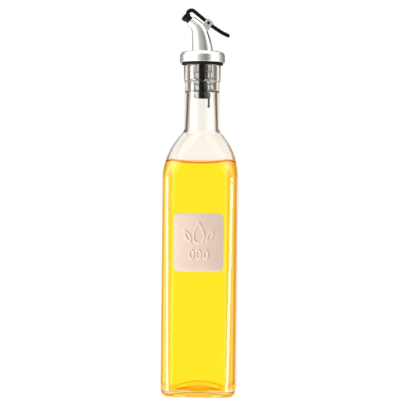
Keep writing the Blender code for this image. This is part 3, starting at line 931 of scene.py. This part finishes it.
def shoulder_rings(inset, corner, line_x, fillet, top_z=None):
    """Rings up the shoulder and through the small fillet at the neck's foot, or up to top_z."""
    centre = (BODY_HALF - SHOULDER_RADIUS, SHOULDER_Z)
    radius = SHOULDER_RADIUS - inset
    fillet_z, last = fillet_to_line(centre, radius, line_x, fillet)
    end_z = centre[1] + radius * sin(last)
    until = last if top_z is None else asin((top_z - centre[1]) / radius)
    rings = []
    for half, z in arc(centre, radius, 0.0, until, ARC_STEPS):
        roundness = (z - centre[1]) / (end_z - centre[1])
        rings.append(ring(half, corner + (half - corner) * roundness, roundness, z))
    if top_z is None:
        turn = arc((line_x + fillet, fillet_z), fillet, last + pi, pi, FILLET_STEPS)[1:]
        rings += [disc_ring(radius_here, z) for radius_here, z in turn]
    return rings


def outer_rings():
    """The bottle's outside, from the middle of its underside to the top of its lip."""
    rings = []
    for share in (*DISC_SHARES, 1.0):
        rings.append(disc_ring(PUNT_RADIUS * share, PUNT_DEPTH * (1 - share**2)))
    foot = BODY_HALF - HEEL_RADIUS
    foot_corner = CORNER_RADIUS - HEEL_RADIUS
    for x, z in arc((foot, HEEL_RADIUS), HEEL_RADIUS, -pi / 2, 0.0, HEEL_STEPS):
        rings.append(ring(x, foot_corner + x - foot, 0.0, z))
    for share in WALL_SHARES:
        z = HEEL_RADIUS + (SHOULDER_Z - HEEL_RADIUS) * share
        rings.append(ring(BODY_HALF, CORNER_RADIUS, 0.0, z))
    rings += shoulder_rings(0.0, CORNER_RADIUS, NECK_FOOT_RADIUS, NECK_FILLET)
    rings.append(disc_ring(NECK_RADIUS, NECK_TOP_Z))
    rings.append(disc_ring(NECK_RADIUS, NECK_TOP_Z + SUPPORT))
    step = LIP_RADIUS - NECK_RADIUS
    rings.append(disc_ring(NECK_RADIUS, LIP_FOOT_Z - LIP_SWELL_BELOW * step - SUPPORT))
    rings.append(disc_ring(NECK_RADIUS, LIP_FOOT_Z - LIP_SWELL_BELOW * step))
    for share in SWELL_SHARES:
        z = LIP_FOOT_Z - step * (1.0 - LIP_SWELL_RISE * share)
        rings.append(disc_ring(NECK_RADIUS + step * share, z))
    rings.append(disc_ring(LIP_RADIUS, LIP_FOOT_Z + LIP_SWELL_ABOVE * step))
    rings.append(disc_ring(LIP_RADIUS, LIP_FOOT_Z + LIP_SWELL_ABOVE * step + SUPPORT))
    rings.append(disc_ring(LIP_RADIUS, LIP_TOP_Z - LIP_ROUND - SUPPORT))
    centre = (LIP_RADIUS - LIP_ROUND, LIP_TOP_Z - LIP_ROUND)
    rings += [disc_ring(x, z) for x, z in arc(centre, LIP_ROUND, 0.0, pi / 2, LIP_STEPS)]
    return rings


def cavity_rings(inset, top_z=None):
    """The bottle's inside from the middle of its floor up to the bore or to top_z, shrunk by inset."""
    rings = []
    heel_half = BODY_HALF - WALL - CAVITY_HEEL
    floor_z = FLOOR_Z + inset
    for share in DISC_SHARES:
        rings.append(disc_ring(heel_half * share, floor_z + DOME_HEIGHT * (1 - share**2)))
    heel_corner = CAVITY_CORNER - CAVITY_HEEL
    heel = CAVITY_HEEL - inset
    for x, z in arc((heel_half, FLOOR_Z + CAVITY_HEEL), heel, -pi / 2, 0.0, CAVITY_HEEL_STEPS):
        rings.append(ring(x, heel_corner + x - heel_half, 0.0, z))
    corner = CAVITY_CORNER - inset
    for share in WALL_SHARES:
        z = FLOOR_Z + CAVITY_HEEL + (SHOULDER_Z - FLOOR_Z - CAVITY_HEEL) * share
        rings.append(ring(BODY_HALF - WALL - inset, corner, 0.0, z))
    rings += shoulder_rings(WALL + inset, corner, NECK_BORE_FOOT_RADIUS, BORE_FILLET, top_z)
    if top_z is None:
        rings.append(disc_ring(NECK_BORE_RADIUS, NECK_BORE_TOP_Z - SUPPORT))
        for share in (0.0, *SWELL_SHARES, 1.0):
            radius = NECK_BORE_RADIUS + (BORE_RADIUS - NECK_BORE_RADIUS) * (3 * share**2 - 2 * share**3)
            rings.append(disc_ring(radius, NECK_BORE_TOP_Z + (BORE_FOOT_Z - NECK_BORE_TOP_Z) * share))
        rings.append(disc_ring(BORE_RADIUS, BORE_FOOT_Z + SUPPORT))
        rings.append(disc_ring(BORE_RADIUS, LIP_TOP_Z - BORE_ROUND - SUPPORT))
        centre = (BORE_RADIUS + BORE_ROUND, LIP_TOP_Z - BORE_ROUND)
        rings += [disc_ring(x, z) for x, z in arc(centre, BORE_ROUND, pi, pi / 2, BORE_STEPS)]
    return rings


def build_glass():
    glass = loft("bottle_glass", outer_rings() + cavity_rings(0.0)[::-1], glass_material())
    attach(glass, BOTTLE_BODY)
    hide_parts("bottle")


def build_oil():
    """The oil reaches just into the glass, so that no air shows between them, and climbs at the wall."""
    rings = cavity_rings(-OIL_OVERLAP, OIL_LEVEL_Z + MENISCUS_RISE)
    level = rings.pop()
    half = max(point.x for point in level)
    climbs = [CORNER_CLIMB * min(abs(p.x), abs(p.y)) ** 2 for p in level]
    for share in MENISCUS_SHARES:
        rim = []
        for point, climb in zip(level, climbs):
            factor = 1 - (MENISCUS_WIDTH * share + RIM_LEAN * climb) / half
            drop = (MENISCUS_RISE + climb) * (1 - (1 - share) ** 3)
            rim.append(Vector((point.x * factor, point.y * factor, point.z + climb - drop)))
        rings.append(rim)
    oil = loft("oil_fill", rings, oil_material())
    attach(oil, BOTTLE_BODY)
    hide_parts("oil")


# Label


def label_motif():
    """An oil drop between two leaves, over a row of three olives, all drawn with an even stroke."""
    outlines = []
    for inset in (RELIEF_EDGE, STROKE - RELIEF_EDGE):
        drop = drop_outline(DROP_HEIGHT, DROP_HALF_WIDTH, inset)
        outlines.append([(x, z + DROP_Z) for x, z in drop])
        for side in (1, -1):
            slant = radians(90 - side * LEAF_SLANT)
            centre = (side * LEAF_PLACE[0], LEAF_PLACE[1])
            outlines.append(leaf_outline(centre, LEAF_LENGTH, LEAF_HALF_WIDTH, slant, inset))
        for step in (-1, 0, 1):
            centre = (step * OLIVE_SPACING, OLIVE_Z)
            half_width = OLIVE_HALF_WIDTH - inset * OLIVE_SIDE_INSET
            outlines.append(oval_outline(centre, half_width, OLIVE_HALF_HEIGHT - inset))
    return outlines


def build_label():
    material = pearl_material()
    size = LABEL_HIGH - LABEL_LOW
    front_y = LABEL_LOW.y + RELIEF
    middle = Vector((0.0, (front_y + LABEL_HIGH.y) / 2, (LABEL_LOW.z + LABEL_HIGH.z) / 2))
    outline = rounded_rectangle(size.x, size.z, LABEL_CORNER)
    sheet = plate("label_plate", [outline], (LABEL_HIGH.y - front_y) / 2, middle, material, LABEL_EDGE)
    centre = Vector((0.0, LABEL_LOW.y + RELIEF, middle.z))
    relief = plate("label_relief", label_motif(), RELIEF, centre, material, RELIEF_EDGE)
    for piece in (sheet, relief):
        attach(piece, BOTTLE_BODY)
        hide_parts("label")


# Stopper


def build_stopper():
    """The clear stopper: a collar in the mouth, a thin sleeve with its fins, and a roof round the core."""
    top = STOPPER_HIGH.z
    foot = STOPPER_LOW.z
    collar_z = LIP_TOP_Z - COLLAR_HEIGHT
    root = SLEEVE_RADIUS + EDGE_ROUND
    profile = [(FIN_RADIUS, top), (FIN_RADIUS, collar_z), (root, collar_z - 2 * EDGE_ROUND)]
    for rim_z in FIN_PLACES:
        profile += [
            (root, rim_z + FIN_THICKNESS),
            (FIN_RADIUS, rim_z + FIN_THICKNESS * FIN_RIM_SHARE),
            (FIN_RADIUS - FIN_TAPER, rim_z),
            (SLEEVE_RADIUS, rim_z - EDGE_ROUND),
        ]
    profile += [
        (SLEEVE_RADIUS - EDGE_ROUND, foot + EDGE_ROUND),
        (SLEEVE_RADIUS - 2 * EDGE_ROUND, foot),
        (SLEEVE_INNER_RADIUS, foot),
        (SLEEVE_INNER_RADIUS, top - STOPPER_ROOF),
        (CORE_ROOM_RADIUS, top - STOPPER_ROOF),
        (CORE_ROOM_RADIUS, top),
    ]
    stopper = turned("stopper_sleeve", profile, silicone_material(), closed=True)
    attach(stopper, BOTTLE_BODY)
    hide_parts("stopper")


# Pourer


def fuller(share):
    """Turns an ellipse's cosine or sine into that of a fuller oval, with flatter sides."""
    return abs(share) ** SPOUT_FULLNESS * (1 if share >= 0 else -1)


def spout_rings(points=96, steps=8):
    """Full oval sections along the spout, from inside the cap to the mouth."""
    stations = [
        ((front[0], front[1], back[0]), (back[1], depth, 0.0)) for front, back, depth in SPOUT_SECTIONS
    ]
    first = smooth_route([s[0] for s in stations], steps)
    second = smooth_route([s[1] for s in stations], steps)
    rings = []
    for (front_x, front_z, back_x), (back_z, depth, _) in zip(first, second):
        centre = Vector(((front_x + back_x) / 2, 0.0, (front_z + back_z) / 2))
        half = Vector(((back_x - front_x) / 2, 0.0, (back_z - front_z) / 2))
        side = Vector((0.0, depth, 0.0))
        turns = [tau * k / points for k in range(points)]
        rings.append([centre + half * fuller(cos(a)) + side * fuller(sin(a)) for a in turns])
    return rings


def spout_channel():
    """Centres of the spout's sections, from outside the mouth down into the cap."""
    outwards = Vector((sin(MOUTH_TILT), 0.0, cos(MOUTH_TILT)))
    centres = [
        Vector(((front[0] + back[0]) / 2, 0.0, (front[1] + back[1]) / 2))
        for front, back, _ in reversed(SPOUT_SECTIONS)
    ]
    start = [MOUTH_CENTRE + outwards * CHANNEL_LEAD, MOUTH_CENTRE]
    end = Vector((CORE_OFFSET_X, 0.0, CORE_TOP_Z - CHANNEL_OVERLAP))
    return smooth_route([*start, *centres[1:], end], steps=6)


def ear_outline():
    """A rounded ear round the pivot, whose root lies in the spout."""
    root = -EAR_ROOT
    turn = EAR_SLANT + pi / 2
    points = []
    for x, z in rounded_rectangle(2 * EAR_HALF_WIDTH, EAR_REACH - root, EAR_CORNER, steps=8):
        z += (EAR_REACH + root) / 2
        points.append((x * cos(turn) + z * sin(turn), -x * sin(turn) + z * cos(turn)))
    return points


def build_pourer():
    """The cap with its curved spout and the two ears of the hinge, in one moulding."""
    profile = [(0.0, CAP_TOP_Z)]
    profile += arc((CAP_RADIUS - CAP_ROUND, CAP_TOP_Z - CAP_ROUND), CAP_ROUND, pi / 2, 0.0, steps=18)
    profile += arc((CAP_RADIUS - CAP_EDGE, POURER_LOW.z + CAP_EDGE), CAP_EDGE, 0.0, -pi / 2, steps=5)
    profile.append((0.0, POURER_LOW.z))
    pourer = turned("pourer_moulding", profile, silver_material(), steps=CAP_STEPS)
    boolean(pourer, loft("spout", spout_rings()), "UNION")
    for side in (1, -1):
        middle = Vector((HINGE.x, side * (EAR_INNER_Y + EAR_THICKNESS / 2), HINGE.z))
        ear = plate("ear", [ear_outline()], EAR_THICKNESS / 2, middle, edge=EAR_EDGE)
        boolean(pourer, ear, "UNION")
    socket = Vector((CORE_OFFSET_X, 0.0, CORE_TOP_Z + GAP - SOCKET_DEPTH / 2))
    boolean(pourer, cylinder("core_socket", CORE_RADIUS + GAP, socket, SOCKET_DEPTH), "DIFFERENCE")
    boolean(pourer, round_tube("pour_channel", spout_channel(), SPOUT_BORE), "DIFFERENCE")
    hole_radius = PIN_RADIUS + PIN_CLEARANCE
    hole = cylinder("pin_hole", hole_radius, HINGE, PIN_HOLE_LENGTH, PIN_SIDES, along_y=True)
    boolean(pourer, hole, "DIFFERENCE")
    even_normals(pourer)
    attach(pourer, BOTTLE_BODY)
    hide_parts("pourer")


def on_mouth(obj):
    """Stands an object turned about its own Z on the spout's mouth, with Z pointing out of it."""
    obj.data.transform(Matrix.Translation(MOUTH_CENTRE) @ Matrix.Rotation(MOUTH_TILT, 4, "Y"))
    return obj


def build_lever(material):
    """The black lever: a bar from the head over the mouth, past the stub pins, to the thumb tail."""
    route = smooth_route([(x - HINGE.x, z - HINGE.z) for x, z in LEVER_ROUTE], steps=10)
    outline = strap_outline(route, LEVER_HALF_THICKNESS - LEVER_EDGE)
    lever = plate("lever_bar", [outline], LEVER_HALF_WIDTH, HINGE, material, LEVER_EDGE)
    rim = HEAD_FOOT + HEAD_RIM
    turns = [pi / 2 * k / HEAD_STEPS for k in range(HEAD_STEPS + 1)]
    profile = [(HEAD_RADIUS * sin(a), rim + HEAD_DOME * cos(a)) for a in turns]
    edge_centre = (HEAD_RADIUS - EDGE_ROUND, HEAD_FOOT + EDGE_ROUND)
    profile += arc(edge_centre, EDGE_ROUND, 0.0, -pi / 2, steps=4)
    profile.append((0.0, HEAD_FOOT))
    boolean(lever, on_mouth(turned("lever_head", profile)), "UNION")
    pin_length = 2 * (EAR_INNER_Y + EAR_THICKNESS + PIN_PROUD)
    pin = cylinder("lever_pin", PIN_RADIUS, HINGE, pin_length, PIN_SIDES, along_y=True)
    boolean(lever, pin, "UNION")
    smooth(lever)
    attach(lever, LEVER_BODY)
    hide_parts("lever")


def build_plug(material):
    """The rubber plug under the lever's head, with a waist between its foot and its rim."""
    profile = [(0.0, PLUG_TOP)]
    edge_centre = (PLUG_RIM_RADIUS - EDGE_ROUND, PLUG_TOP - EDGE_ROUND)
    profile += arc(edge_centre, EDGE_ROUND, pi / 2, 0.0, steps=4)
    profile += [
        (PLUG_RIM_RADIUS, PLUG_TOP - PLUG_RIM_HEIGHT),
        (PLUG_WAIST_RADIUS + PLUG_WAIST_FLARE, PLUG_TOP - PLUG_FLARE_HEIGHT),
        (PLUG_WAIST_RADIUS, PLUG_WAIST),
        (PLUG_FOOT_RADIUS, PLUG_FOOT + PLUG_FOOT_HEIGHT),
        (PLUG_FOOT_RADIUS, PLUG_FOOT),
        (PLUG_TIP_RADIUS, PLUG_FOOT),
        (PLUG_TIP_RADIUS * PLUG_TIP_TURN[0], PLUG_FOOT - PLUG_TIP_DEPTH * PLUG_TIP_TURN[1]),
        (0.0, PLUG_FOOT - PLUG_TIP_DEPTH),
    ]
    plug = on_mouth(turned("mouth_plug", profile, material))
    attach(plug, LEVER_BODY)
    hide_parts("plug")


def finish_solids(finishes):
    """Gives the solids whose shape is right their finish."""
    for node, material in finishes.items():
        data = frame["nodes"][node].data
        data.materials.clear()
        data.materials.append(material)


# Studio


def build_camera():
    camera = scene_object("camera", bpy.data.cameras.new("camera"))
    camera.data.sensor_width = SENSOR_WIDTH
    camera.data.lens = SENSOR_WIDTH * CAMERA_DISTANCE / PICTURE_WIDTH
    camera.data.clip_start = 0.05
    camera.data.clip_end = 20.0
    aim = Vector((CAMERA_AIM_X, 0.0, CAMERA_HEIGHT))
    back = Vector((sin(CAMERA_AZIMUTH), -cos(CAMERA_AZIMUTH), 0.0))
    camera.location = aim + back * CAMERA_DISTANCE
    facing = (-back).to_track_quat("-Z", "Y")
    camera.rotation_mode = "QUATERNION"
    camera.rotation_quaternion = facing @ Matrix.Rotation(CAMERA_ROLL, 4, "Z").to_quaternion()
    bpy.context.scene.camera = camera


def build_floor():
    bpy.ops.mesh.primitive_circle_add(
        vertices=96, radius=FLOOR_RADIUS, fill_type="NGON", location=(0.0, 0.0, 0.0)
    )
    floor = bpy.context.object
    floor.name = "studio_floor"
    floor.data.materials.append(floor_material())
    floor.visible_glossy = False
    floor.visible_transmission = False


def add_directions(tree):
    """The azimuth and the elevation of a direction, in degrees. Azimuth 0 is -Y, and 90 is +X."""
    place = tree.nodes.new("ShaderNodeTexCoord")
    parts = tree.nodes.new("ShaderNodeSeparateXYZ")
    tree.links.new(place.outputs["Generated"], parts.inputs["Vector"])
    forwards = add_math(tree, "MULTIPLY", parts.outputs["Y"], -1.0)
    turn = add_math(tree, "ARCTAN2", parts.outputs["X"], forwards)
    azimuth = add_math(tree, "DEGREES", turn)
    elevation = add_math(tree, "DEGREES", add_math(tree, "ARCSINE", parts.outputs["Z"]))
    return azimuth, elevation


def add_warmth(tree, directions, colour, card):
    """A warm card over a colour, between two azimuths and two elevations."""
    share = [add_window(tree, value, *window) for value, window in zip(directions, card)]
    return add_mix(tree, add_math(tree, "MULTIPLY", *share), colour, WARM_COLOUR)


def add_satin_light(tree, directions):
    """The soft studio that the satin and black pieces reflect, brighter overhead and below."""
    azimuth, elevation = directions
    turn = add_math(tree, "DIVIDE", add_math(tree, "ADD", azimuth, 180.0), 360.0)
    stops = [((angle + 180.0) / 360.0, (tone, tone, SATIN_BLUE * tone)) for angle, tone in SATIN_TONES]
    sides = add_ramp(tree, turn, stops)
    overhead = add_rise(tree, elevation, *OVERHEAD)
    rises = add_math(tree, "ADD", overhead, add_rise(tree, elevation, *UNDERFOOT))
    total = tree.nodes.new("ShaderNodeVectorMath")
    total.operation = "ADD"
    tree.links.new(sides, total.inputs[0])
    tree.links.new(rises, total.inputs[1])
    return total.outputs["Vector"]


def add_glass_light(tree, directions):
    """What shines off the glass: light panels, low strips and rims over an even tone, and a warm glint."""
    azimuth, elevation = directions
    below = add_math(tree, "MAXIMUM", add_math(tree, "MINIMUM", elevation, 0.0), PANEL_FOOT)
    total = None
    low = add_rise(tree, elevation, *STRIP_TOP)
    gap = add_math(tree, "SUBTRACT", 1.0, add_window(tree, elevation, *RIGHT_GAP))
    groups = (
        (GLASS_PANELS, 1.0),
        (GLASS_RIMS, add_rise(tree, elevation, *RIM_TOP)),
        ((LEFT_STRIP,), low),
        ((RIGHT_STRIP,), add_math(tree, "MULTIPLY", low, gap)),
    )
    for group, limit in groups:
        for middle, half, softness, lean, power in group:
            shifted = add_math(tree, "ADD", azimuth, add_math(tree, "MULTIPLY", below, lean))
            lit = add_math(tree, "MULTIPLY", add_window(tree, shifted, middle, half, softness), power)
            lit = add_math(tree, "MULTIPLY", lit, limit)
            total = lit if total is None else add_math(tree, "ADD", total, lit)
    foot = add_rise(tree, elevation, PANEL_FOOT - PANEL_FADE, PANEL_FOOT, 1.0)
    total = add_math(tree, "MULTIPLY", total, foot)
    total = add_math(tree, "ADD", total, add_rise(tree, elevation, *OVERHEAD))
    total = add_math(tree, "ADD", total, add_rise(tree, elevation, *UNDERFOOT))
    tone = tree.nodes.new("ShaderNodeVectorMath")
    tone.operation = "ADD"
    tone.inputs[0].default_value = GLASS_TONE
    tree.links.new(total, tone.inputs[1])
    return add_warmth(tree, directions, tone.outputs["Vector"], WARM_GLINT)


def add_surroundings(tree, directions):
    """White behind, above and below, and dark to both sides, which draws the glass's edges. A small warm
    card stands behind on the right.
    """
    azimuth, elevation = directions
    off = add_math(tree, "SUBTRACT", 180.0, add_math(tree, "ABSOLUTE", azimuth))
    stops = [(angle / 180.0, colour) for angle, colour in THROUGH_COLOURS]
    sides = add_ramp(tree, add_math(tree, "DIVIDE", off, 180.0), stops)
    above = add_rise(tree, elevation, *THROUGH_ABOVE)
    below = add_rise(tree, elevation, *THROUGH_BELOW)
    behind = add_rise(tree, off, *THROUGH_FRONT)
    outer = add_math(tree, "MULTIPLY", add_math(tree, "ADD", above, below), behind)
    around = add_mix(tree, outer, sides, THROUGH_WHITE)
    top = add_rise(tree, elevation, *THROUGH_TOP)
    ends = add_math(tree, "ADD", top, add_rise(tree, elevation, *THROUGH_BOTTOM))
    around = add_mix(tree, ends, around, THROUGH_DARK)
    return add_warmth(tree, directions, around, WARM_CARD)


def build_world():
    """A white studio. What is seen through the glass, and what shines off the surfaces, are lit apart."""
    world = bpy.data.worlds.new("studio")
    world.use_nodes = True
    world.cycles.sampling_method = "NONE"
    tree = world.node_tree
    background = tree.nodes["Background"]
    rays = tree.nodes.new("ShaderNodeLightPath")
    directions = add_directions(tree)
    colour = add_satin_light(tree, directions)
    for flag, other in (
        ("Is Singular Ray", add_glass_light(tree, directions)),
        ("Is Transmission Ray", add_surroundings(tree, directions)),
        ("Is Diffuse Ray", DIFFUSE_TONE),
        ("Is Camera Ray", BACKDROP_TONE),
    ):
        colour = add_mix(tree, rays.outputs[flag], colour, other)
    tree.links.new(colour, background.inputs["Color"])
    bpy.context.scene.world = world


def build_key_light():
    """A soft key from the lower left, which models the label's relief."""
    data = bpy.data.lights.new("key", "AREA")
    data.shape = "RECTANGLE"
    data.size = KEY_SIZE
    data.size_y = KEY_SIZE
    data.energy = KEY_POWER
    key = scene_object("key", data)
    key.location = KEY_PLACE
    key.rotation_mode = "QUATERNION"
    key.rotation_quaternion = (KEY_AIM - key.location).to_track_quat("-Z", "Y")
    key.visible_glossy = False
    key.visible_transmission = False
    key.visible_camera = False


build_camera()
build_world()
build_key_light()
build_floor()
build_glass()
build_oil()
build_label()
build_stopper()
build_pourer()
plastic_grain = (PLASTIC_GRAIN, PLASTIC_DEPTH)
rubber_grain = (RUBBER_GRAIN, RUBBER_DEPTH)
black_plastic = black_material("black_plastic", PLASTIC_COLOUR, PLASTIC_ROUGHNESS, *plastic_grain)
black_rubber = black_material("black_rubber", RUBBER_COLOUR, RUBBER_ROUGHNESS, *rubber_grain)
build_lever(black_plastic)
build_plug(black_rubber)
core_plastic = black_material("core_plastic", PLASTIC_COLOUR, CORE_ROUGHNESS, *plastic_grain, specular=0.0)
finish_solids({"core": core_plastic, "gasket": black_rubber})
bpy.context.scene.view_settings.view_transform = "Standard"
